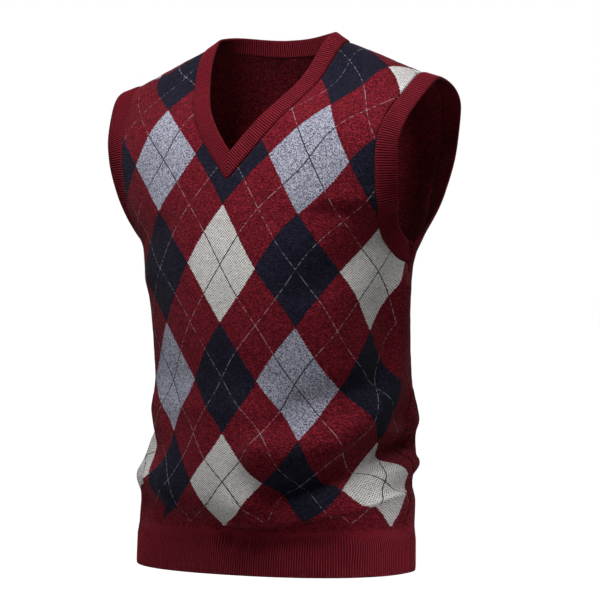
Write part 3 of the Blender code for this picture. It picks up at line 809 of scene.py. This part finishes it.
def buildBand(name, spine, closed, sewn=True, materialName="rib_knit"):
    # spine(share) gives points, outward normals and the way to the free edge, by column
    rings, uvRows = [], []
    for share, height, ribs in bandProfile(sewn):
        onCloth = min(share, 1.0)
        past = (share - 1.0) * band["edgeRound"] if share > 1 else 0.0
        points, normals, away, width = spine(onCloth)
        columns = len(points)
        wave = ribWave(columns) - 0.5 if ribs > 0 else 1 - ribWave(columns)
        lift = height + rib["relief"] * ribs * wave
        rings.append(points + normals * lift[:, None] + away * past)
        uvRows.append(width * onCloth / rib["pitch"] + past / rib["pitch"])
    points = np.array(rings)
    rows, columns = points.shape[:2]
    index = np.arange(rows * columns).reshape(rows, columns)
    wrapped = np.roll(index, -1, axis=1)
    rowUp = np.roll(index, -1, axis=0)
    rowUpWrapped = np.roll(wrapped, -1, axis=0)
    last = columns if closed else columns - 1
    quads = np.stack([index, wrapped, rowUpWrapped, rowUp], axis=-1)[:, :last].reshape(-1, 4)
    u = np.arange(columns + 1) / rib["columns"]
    v = np.array(uvRows)
    vNext = np.roll(v, -1)
    vNext[-1] = v[-1] + 1
    uvQuads = np.empty((rows, last, 4, 2))
    uvQuads[..., 0] = np.stack([u[:last], u[1:last + 1], u[1:last + 1], u[:last]], axis=-1)[None]
    uvQuads[..., 1] = np.stack([v, v, vNext, vNext], axis=-1)[:, None]
    uvQuads = uvQuads.reshape(-1, 4, 2)
    flatPoints = points.reshape(-1, 3)
    if not closed:
        # the two ends are closed with strips from the outside to the inside
        for column, order in ((0, 1), (columns - 1, -1)):
            ring = index[:, column]
            k = np.arange(rows // 2 - 1)
            strip = [ring[k], ring[k + 1], ring[rows - 2 - k], ring[rows - 1 - k]]
            strip = np.stack(strip, axis=-1)[:, ::order]
            quads = np.vstack([quads, strip])
            uvQuads = np.vstack([uvQuads, np.zeros((len(strip), 4, 2))])
    flipped = turnedOut(flatPoints, quads)
    if flipped is not quads:
        uvQuads = uvQuads[:, ::-1]
    isRim = np.arange(len(quads)) >= (rows - 1) * last
    joinNormals = np.zeros(flatPoints.shape)
    if not sewn:
        joinNormals[:columns] = spine(0.0)[1]
    piece = newPiece(name, flatPoints, flipped, uvQuads, materialName, isRim, joinNormals)
    print(name, "ribbed,", len(quads), "faces")
    return piece


def ribColumns(length, closed):
    ribs = round(length / rib["pitch"])
    return ribs * rib["columns"] + (0 if closed else 1)


def hemSpine(cloth):
    half = np.interp(ribTopLevel / 2, cloth.levels, cloth.halves)
    shares = np.linspace(-1, 1, ribColumns(2 * half, closed=False)) * cloth.facing
    top = ribTopLevel - panel["knitOn"]

    def spine(share):
        level = top * (1 - share)
        reach = np.interp(level, cloth.levels, cloth.halves) - cut["seamGap"] / 2
        points, normals = readCloth(cloth, shares * reach, level)
        above = readCloth(cloth, shares * reach, level + band["hemStep"])[0]
        return points, normals, unit(points - above), top

    return spine


hemKnit = {"closed": False, "sewn": False, "materialName": "hem_rib_knit"}
hemFront = buildBand("hem_rib_front_knit", hemSpine(frontCloth), **hemKnit)
hemBack = buildBand("hem_rib_back_knit", hemSpine(backCloth), **hemKnit)


def seamUp(cloth, edges, side, edge, startLevel):
    levels = edges[0]
    upper = levels > startLevel - cut["seamGap"]
    return readCloth(cloth, side * edge[upper], levels[upper])


def armholeSeam(side):
    rise = seamUp(frontCloth, frontEdges, side, frontEdges[2], underarmLevel)
    descent = seamUp(backCloth, backEdges, side, backEdges[2], underarmLevel)
    loop = [np.vstack([r, d[-2:0:-1]]) for r, d in zip(rise, descent)]
    return [part[::-1] if side > 0 else part for part in loop]


def neckSeam():
    runs = []
    for side in (1, -1):
        leg = seamUp(frontCloth, frontEdges, side, frontEdges[1], vLevel)
        nape = seamUp(backCloth, backEdges, side, backEdges[1], napeLevel)
        runs.append([np.vstack([a, b[-2::-1]]) for a, b in zip(leg, nape)])
    left, right = runs
    return [np.vstack([a, b[-2::-1]]) for a, b in zip(left, right)]


def runAlong(points):
    run = np.linalg.norm(np.diff(points, axis=0), axis=1)
    return np.concatenate([[0.0], np.cumsum(run)])


def eased(track, columns):
    # a running average along the strip, its ends held
    weights = np.exp(-2 * np.linspace(-1, 1, 2 * columns + 1) ** 2)
    padded = np.pad(track, ((columns, columns), (0, 0)), mode="edge")
    smooth = [np.convolve(c, weights / weights.sum(), mode="valid") for c in padded.T]
    return np.stack(smooth, axis=-1)


def stripSpine(seam, width, liftDegrees, closed, trim=0.0):
    points, normals = seam
    if closed:
        tangents = unit(np.roll(points, -1, axis=0) - np.roll(points, 1, axis=0))
    else:
        tangents = unit(np.gradient(points, axis=0))
    flat = unit(np.cross(normals, tangents))
    lift = np.radians(liftDegrees)[:, None]
    out = flat * np.cos(lift) + normals * np.sin(lift)
    edgeNormals = normals * np.cos(lift) - flat * np.sin(lift)
    tracks = (points, normals, flat, out, edgeNormals)
    tracks = [np.vstack([a, a[:1]]) if closed else a for a in tracks]
    run = runAlong(tracks[0])
    places = np.linspace(trim, run[-1] - trim, ribColumns(run[-1], closed) + closed)
    places = places[:-1] if closed else places
    read = [np.stack([np.interp(places, run, c) for c in a.T], axis=-1) for a in tracks]
    base = read[0] + unit(read[2]) * cut["seamGap"]
    if not closed:
        read[1:] = [eased(track, band["turnEase"]) for track in read[1:]]
    normals, out, edgeNormals = unit(read[1]), unit(read[3]), unit(read[4])
    reach = np.full(len(base), width)
    if trim:
        # the two legs of the V stop at the centre line and meet in a mitre
        inwards = np.maximum(-out[:, 0] * np.sign(base[:, 0]), cut["seamGap"])
        room = (np.abs(base[:, 0]) - cut["seamGap"] / 2) / inwards
        reach = np.where(normals[:, 1] < 0, np.minimum(reach, room), reach)

    def spine(share):
        at = base + out * (reach * share)[:, None]
        turned = unit(normals * (1 - share) + edgeNormals * share)
        return at, turned, out * np.where(reach < width * 0.999, 0.0, 1.0)[:, None], width

    return spine


neckband = {
    "width": 0.0215,
    "napeLift": 38.0,        # degrees that it stands up, once full
    "napeStart": -0.015,     # front to back, it begins to stand up here
    "napeFull": 0.060,       # and stands full from here on
    "mitre": 0.0010,
}
armband = {"width": 0.0245, "lift": 6.0}   # lift is in degrees, at the top


def neckbandSpine():
    seam = neckSeam()
    share = (seam[0][:, 1] - neckband["napeStart"]) / (neckband["napeFull"] - neckband["napeStart"])
    share = np.clip(share, 0, 1)
    lift = neckband["napeLift"] * share * share * (3 - 2 * share)
    return stripSpine(seam, neckband["width"], lift, closed=False, trim=neckband["mitre"])


def armbandSpine(side):
    seam = armholeSeam(side)
    height = seam[0][:, 2]
    lift = armband["lift"] * (height - height.min()) / (height.max() - height.min())
    return stripSpine(seam, armband["width"], lift, closed=True)


neckRib = buildBand("neckband_knit", neckbandSpine(), closed=False)
leftArmRib = buildBand("armband_left_knit", armbandSpine(1), closed=True)
rightArmRib = buildBand("armband_right_knit", armbandSpine(-1), closed=True)

# what each piece stands for, and the width, height and area of its cloth laid flat
makings = (
    (frontPanel, "front_panel", "argyle_knit", (0.560, 0.664), 0.262),
    (backPanel, "back_panel", "plain_knit", (0.500, 0.664), 0.262),
    (hemFront, "hem_rib_front", "rib_knit", (0.480, 0.051), None),
    (hemBack, "hem_rib_back", "rib_knit", (0.440, 0.051), None),
    (neckRib, "neckband", "rib_knit", (0.740, 0.023), None),
    (leftArmRib, "armband_left", "rib_knit", (0.590, 0.026), None),
    (rightArmRib, "armband_right", "rib_knit", (0.590, 0.026), None),
)
for piece, node, slotName, flat, area in makings:
    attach(piece, "root")
    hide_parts(node)
print("pieces declared:", len(makings))


studio = {
    "camera": {
        "azimuth": 29.0, "distance": 2.95, "aside": 0.026, "height": -0.285,
        "focalPixels": 2428.0, "imagePixels": 600, "sensorWidth": 36.0,
    },
    "floorHeight": -1.25,
    "floorRadius": 60.0,
    "paper": (0.92, 0.92, 0.92, 1),
    "floorWhite": 1.05,      # as the camera sees it
    "floorBounce": 0.11,     # as it lights the cloth from below
    "backdrop": 1.0,
    "ambient": 0.01,
}


def placeCamera():
    look = studio["camera"]
    turn = math.radians(look["azimuth"])
    right = np.array([math.cos(turn), math.sin(turn), 0.0])
    back = np.array([math.sin(turn), -math.cos(turn), 0.0])
    target = right * look["aside"] + np.array([0.0, 0.0, look["height"]])
    data = bpy.data.cameras.new("studioCamera")
    data.lens = look["focalPixels"] / look["imagePixels"] * look["sensorWidth"]
    data.sensor_width = look["sensorWidth"]
    camera = bpy.data.objects.new("studioCamera", data)
    camera.location = target + back * look["distance"]
    camera.rotation_euler = (math.pi / 2, 0.0, turn)
    bpy.context.scene.collection.objects.link(camera)
    bpy.context.scene.camera = camera


Lamp = namedtuple("Lamp", "azimuth elevation distance size aimHeight spread watts")
lamps = {
    # degrees round the vest and up, metres, and how wide the beam opens in degrees
    "key": Lamp(-6, 45, 0.80, 0.40, -0.10, 180, 7.4),
    "frontFill": Lamp(34, 15, 0.90, 0.40, -0.30, 180, 0.6),
    "lowFill": Lamp(29, -50, 1.20, 0.60, -0.285, 180, 0.25),
    "leftFill": Lamp(-30, 12, 3.00, 1.20, -0.285, 180, 2.4),
    "leftKick": Lamp(-40, 25, 0.90, 0.15, -0.62, 20, 0.03),
    "sideKick": Lamp(54, 62, 1.50, 0.30, -0.46, 20, 0.15),
    "hemKick": Lamp(72, 20, 0.90, 0.15, -0.68, 20, 0.08),
    "rearLeft": Lamp(152, 30, 2.20, 1.20, -0.285, 180, 10.0),
    "rearRight": Lamp(-140, 35, 2.20, 1.20, -0.285, 180, 11.0),
}


def placeLamps():
    for name, lamp in lamps.items():
        turn, lift = math.radians(lamp.azimuth), math.radians(lamp.elevation)
        level = math.cos(lift)
        way = np.array([math.sin(turn) * level, -math.cos(turn) * level, math.sin(lift)])
        data = bpy.data.lights.new(name, "AREA")
        data.energy = lamp.watts
        data.size = lamp.size
        data.spread = math.radians(lamp.spread)
        hung = bpy.data.objects.new(name, data)
        hung.visible_camera = False
        hung.location = way * lamp.distance + np.array([0.0, 0.0, lamp.aimHeight])
        hung.rotation_euler = Vector(tuple(way)).to_track_quat("Z", "Y").to_euler()
        bpy.context.scene.collection.objects.link(hung)


def seenOrLighting(tree, lighting, seen):
    # one strength as the camera sees it, another as it lights the cloth
    path = tree.nodes.new("ShaderNodeLightPath")
    strength = tree.nodes.new("ShaderNodeMapRange")
    strength.inputs["To Min"].default_value = lighting
    strength.inputs["To Max"].default_value = seen
    tree.links.new(path.outputs["Is Camera Ray"], strength.inputs["Value"])
    return strength.outputs["Result"]


def placeFloor():
    mesh = bpy.data.meshes.new("studioFloor")
    r, z = studio["floorRadius"], studio["floorHeight"]
    corners = [(-r, -r, z), (r, -r, z), (r, r, z), (-r, r, z)]
    mesh.from_pydata(corners, [], [(0, 1, 2, 3)])
    material = bpy.data.materials.new("studioPaper")
    material.use_nodes = True
    tree = material.node_tree
    shader = tree.nodes["Principled BSDF"]
    shader.inputs["Base Color"].default_value = studio["paper"]
    shader.inputs["Roughness"].default_value = 1.0
    shader.inputs["Emission Color"].default_value = (1, 1, 1, 1)
    glow = seenOrLighting(tree, studio["floorBounce"], studio["floorWhite"])
    tree.links.new(glow, shader.inputs["Emission Strength"])
    mesh.materials.append(material)
    floor = bpy.data.objects.new("studioFloor", mesh)
    bpy.context.scene.collection.objects.link(floor)


def placeSky():
    # the camera sees plain white paper; the cloth gets a dimmer, even light from it
    world = bpy.data.worlds.new("studioLight")
    world.use_nodes = True
    tree = world.node_tree
    shader = tree.nodes["Background"]
    strength = seenOrLighting(tree, studio["ambient"], studio["backdrop"])
    tree.links.new(strength, shader.inputs["Strength"])
    shader.inputs["Color"].default_value = (1, 1, 1, 1)
    bpy.context.scene.world = world


placeCamera()
placeLamps()
placeFloor()
placeSky()
bpy.context.scene.view_settings.view_transform = "Standard"
print("studio lit")
